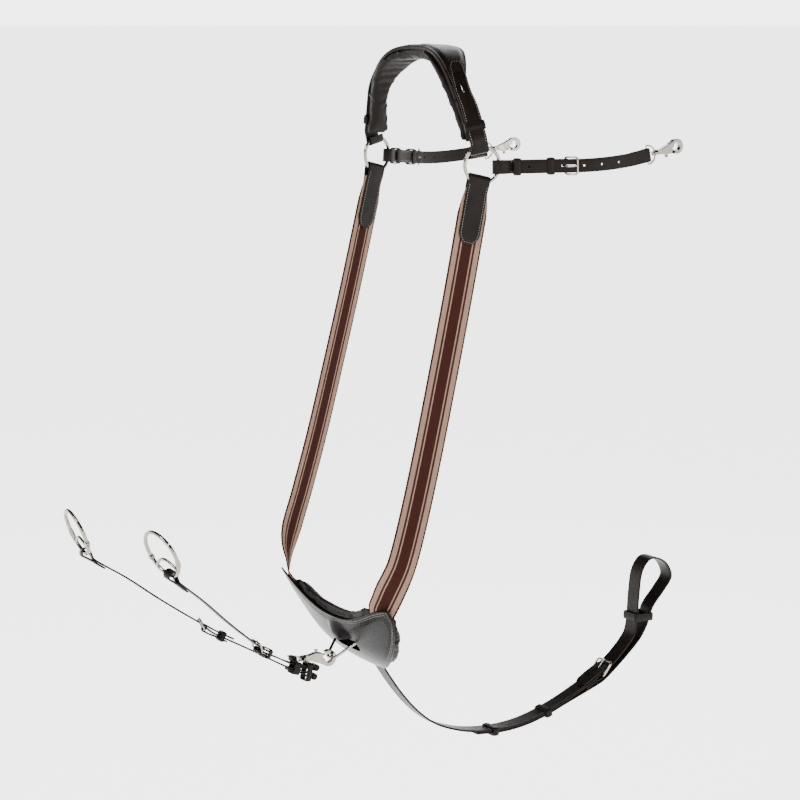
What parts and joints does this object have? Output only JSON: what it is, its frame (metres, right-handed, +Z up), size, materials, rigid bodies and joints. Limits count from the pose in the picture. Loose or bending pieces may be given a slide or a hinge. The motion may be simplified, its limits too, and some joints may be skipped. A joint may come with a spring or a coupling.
{
  "type": "horse breastplate martingale",
  "caption": "Elastic horse breastplate with padded wither bridge, breast pad, clip-on running martingale fork with gated rein rings, and buckled girth loop.",
  "frame": {"origin": "underside of the wither pad's padding at the crown of its arch, where the harness rests on the horse", "axes": "+Z up; +X to the horse's left (near side); -Y forwards, towards the reins; +Y backwards, towards the saddle and girth"},
  "size_m": [0.4105, 0.873, 0.931],
  "materials": {
    "dark_leather": "semi-gloss bridle leather",
    "gloss_leather": "polished bridle leather",
    "soft_leather": "soft padded leather",
    "striped_elastic": "woven striped elastic",
    "nickel": "polished nickel"
  },
  "bodies": {
    "harness": {"wither_pad_cover": "dark_leather", "wither_pad_padding": "soft_leather", "near_neck_billet": "dark_leather", "off_neck_billet": "dark_leather", "near_neck_keeper": "dark_leather", "off_neck_keeper": "dark_leather", "near_elastic_tab": "dark_leather", "off_elastic_tab": "dark_leather", "near_elastic": "striped_elastic", "off_elastic": "striped_elastic"},
    "breast": {"breast_plate_cover": "gloss_leather", "breast_plate_padding": "soft_leather", "dee_strap": "dark_leather"},
    "dee": {"breast_dee": "nickel"},
    "fork_hook": {"fork_snap_body": "nickel"},
    "fork_bolt": {"fork_snap_bolt": "nickel"},
    "fork_eye": {"fork_snap_eye": "nickel"},
    "fork": {"fork_snap_loop": "dark_leather", "fork_end_keeper": "dark_leather", "near_fork_strap": "dark_leather", "off_fork_strap": "dark_leather", "near_fork_buckle": "nickel", "off_fork_buckle": "nickel", "near_fork_keeper": "dark_leather", "off_fork_keeper": "dark_leather", "near_rein_strap": "dark_leather", "off_rein_strap": "dark_leather"},
    "girth": {"girth_strap": "dark_leather", "girth_loop_strap": "dark_leather", "girth_buckle": "nickel", "girth_keeper_front": "dark_leather", "girth_keeper_loop": "dark_leather"},
    "girth_pin": {"girth_tongue": "nickel"},
    "girth_slider": {"girth_keeper_middle": "dark_leather"},
    "near_ring": {"near_wither_ring": "nickel"},
    "near_saddle": {"near_saddle_chape": "dark_leather", "near_saddle_keeper_rear": "dark_leather", "near_saddle_buckle": "nickel", "near_saddle_strap": "dark_leather"},
    "near_slider": {"near_saddle_keeper_front": "dark_leather"},
    "near_pin": {"near_saddle_tongue": "nickel"},
    "near_eye": {"near_saddle_snap_eye": "nickel"},
    "near_hook": {"near_saddle_snap_body": "nickel"},
    "near_bolt": {"near_saddle_snap_bolt": "nickel"},
    "near_fork_pin": {"near_fork_tongue": "nickel"},
    "near_rein": {"near_rein_ring": "nickel"},
    "near_gate": {"near_rein_ring_gate": "nickel"},
    "off_ring": {"off_wither_ring": "nickel"},
    "off_saddle": {"off_saddle_chape": "dark_leather", "off_saddle_keeper_rear": "dark_leather", "off_saddle_buckle": "nickel", "off_saddle_strap": "dark_leather"},
    "off_slider": {"off_saddle_keeper_front": "dark_leather"},
    "off_pin": {"off_saddle_tongue": "nickel"},
    "off_eye": {"off_saddle_snap_eye": "nickel"},
    "off_hook": {"off_saddle_snap_body": "nickel"},
    "off_bolt": {"off_saddle_snap_bolt": "nickel"},
    "off_fork_pin": {"off_fork_tongue": "nickel"},
    "off_rein": {"off_rein_ring": "nickel"},
    "off_gate": {"off_rein_ring_gate": "nickel"}
  },
  "joints": [
    {"name": "near_ring_turn", "type": "hinge", "parent": "harness", "child": "near_ring", "pos_m": [0.125, 0, -0.131], "axis": [0.9659, -0.2588, 0], "range_deg": [-15, 20]},
    {"name": "near_saddle_swing", "type": "hinge", "parent": "near_ring", "child": "near_saddle", "pos_m": [0.13084, 0.02181, -0.13377], "axis": [-0.0082, -0.0154, 0.9998], "range_deg": [-20, 20]},
    {"name": "near_keeper_slide", "type": "slide", "parent": "near_saddle", "child": "near_slider", "axis": [0.4694, 0.8828, 0.0175], "range_m": [-0.003, 0.028]},
    {"name": "near_tongue_lift", "type": "hinge", "parent": "near_saddle", "child": "near_pin", "pos_m": [0.16934, 0.0942, -0.13234], "axis": [0.0082, 0.0154, -0.9998], "range_deg": [0, 50]},
    {"name": "near_eye_swing", "type": "hinge", "parent": "near_saddle", "child": "near_eye", "pos_m": [0.20142, 0.19839, -0.12128], "axis": [-0.0052, -0.1958, 0.9806], "range_deg": [-40, 40]},
    {"name": "near_hook_swivel", "type": "hinge", "parent": "near_eye", "child": "near_hook", "pos_m": [0.20107, 0.218, -0.11737], "axis": [-0.0171, 0.9805, 0.1957], "continuous": true},
    {"name": "near_bolt_slide", "type": "slide", "parent": "near_hook", "child": "near_bolt", "axis": [0.0171, -0.9805, -0.1957], "range_m": [0, 0.0055], "stiffness_N_per_m": 300, "springref_m": -0.002},
    {"name": "off_ring_turn", "type": "hinge", "parent": "harness", "child": "off_ring", "pos_m": [-0.125, 0, -0.131], "axis": [0.9659, 0.2588, 0], "range_deg": [-15, 20]},
    {"name": "off_saddle_swing", "type": "hinge", "parent": "off_ring", "child": "off_saddle", "pos_m": [-0.13084, 0.02181, -0.13377], "axis": [0.0409, -0.077, -0.9962], "range_deg": [-20, 20]},
    {"name": "off_keeper_slide", "type": "slide", "parent": "off_saddle", "child": "off_slider", "axis": [-0.4677, 0.8796, -0.0872], "range_m": [-0.003, 0.028]},
    {"name": "off_tongue_lift", "type": "hinge", "parent": "off_saddle", "child": "off_pin", "pos_m": [-0.16919, 0.09394, -0.14092], "axis": [-0.0409, 0.077, 0.9962], "range_deg": [0, 50]},
    {"name": "off_eye_swing", "type": "hinge", "parent": "off_saddle", "child": "off_eye", "pos_m": [-0.19941, 0.22245, -0.13781], "axis": [0.0731, 0.1465, -0.9865], "range_deg": [-40, 40]},
    {"name": "off_hook_swivel", "type": "hinge", "parent": "off_eye", "child": "off_hook", "pos_m": [-0.19672, 0.24202, -0.13471], "axis": [-0.1349, -0.9786, -0.1553], "continuous": true},
    {"name": "off_bolt_slide", "type": "slide", "parent": "off_hook", "child": "off_bolt", "axis": [-0.1349, -0.9786, -0.1553], "range_m": [0, 0.0055], "stiffness_N_per_m": 300, "springref_m": -0.002},
    {"name": "breast_stretch", "type": "slide", "parent": "harness", "child": "breast", "axis": [0, 0, -1], "range_m": [0, 0.05], "stiffness_N_per_m": 2500, "deforming": ["near_elastic", "off_elastic"]},
    {"name": "dee_swing", "type": "hinge", "parent": "breast", "child": "dee", "pos_m": [0, -0.11951, -0.74496], "axis": [1, 0, 0], "range_deg": [-20, 0]},
    {"name": "fork_hook_swing", "type": "hinge", "parent": "dee", "child": "fork_hook", "pos_m": [0, -0.149, -0.77], "axis": [1, 0, 0], "range_deg": [-20, 0]},
    {"name": "fork_bolt_slide", "type": "slide", "parent": "fork_hook", "child": "fork_bolt", "axis": [0, -0.9929, 0.1191], "range_m": [0, 0.006], "stiffness_N_per_m": 300, "springref_m": -0.002},
    {"name": "fork_eye_swivel", "type": "hinge", "parent": "fork_hook", "child": "fork_eye", "pos_m": [0, -0.18481, -0.7657], "axis": [0, 0.9929, -0.1191], "range_deg": [-12, 12]},
    {"name": "fork_swing", "type": "hinge", "parent": "fork_eye", "child": "fork", "pos_m": [0, -0.20467, -0.76332], "axis": [-1, 0, 0], "range_deg": [0, 35]},
    {"name": "near_fork_tongue_lift", "type": "hinge", "parent": "fork", "child": "near_fork_pin", "pos_m": [0.03, -0.2713, -0.7347], "axis": [-0.9428, -0.2532, 0.2168], "range_deg": [0, 50]},
    {"name": "near_rein_ring_swing", "type": "hinge", "parent": "fork", "child": "near_rein", "pos_m": [0.10249, -0.42702, -0.60134], "axis": [0.9914, 0.1307, 0], "range_deg": [-40, 40]},
    {"name": "near_gate_open", "type": "hinge", "parent": "near_rein", "child": "near_gate", "pos_m": [0.07538, -0.43842, -0.58309], "axis": [0.1203, -0.9125, -0.3911], "range_deg": [0, 35], "stiffness_Nm_per_rad": 0.05, "springref_deg": -5.73},
    {"name": "off_fork_tongue_lift", "type": "hinge", "parent": "fork", "child": "off_fork_pin", "pos_m": [-0.03, -0.3163, -0.7149], "axis": [-0.9125, 0.3213, -0.2533], "range_deg": [0, 50]},
    {"name": "off_rein_ring_swing", "type": "hinge", "parent": "fork", "child": "off_rein", "pos_m": [-0.103, -0.44416, -0.61412], "axis": [0.9954, -0.0963, 0], "range_deg": [-40, 40]},
    {"name": "off_gate_open", "type": "hinge", "parent": "off_rein", "child": "off_gate", "pos_m": [-0.07544, -0.45382, -0.59555], "axis": [0.0902, 0.9321, 0.3508], "range_deg": [0, 35], "stiffness_Nm_per_rad": 0.05, "springref_deg": -5.73},
    {"name": "girth_swing", "type": "hinge", "parent": "breast", "child": "girth", "pos_m": [0, -0.07925, -0.78741], "axis": [1, 0, 0], "range_deg": [0, 5]},
    {"name": "girth_tongue_lift", "type": "hinge", "parent": "girth", "child": "girth_pin", "pos_m": [0, 0.284, -0.8605], "axis": [1, 0, 0], "range_deg": [0, 50]},
    {"name": "girth_keeper_slide", "type": "slide", "parent": "girth", "child": "girth_slider", "axis": [0, 0.9545, 0.2982], "range_m": [-0.004, 0.004]}
  ]
}
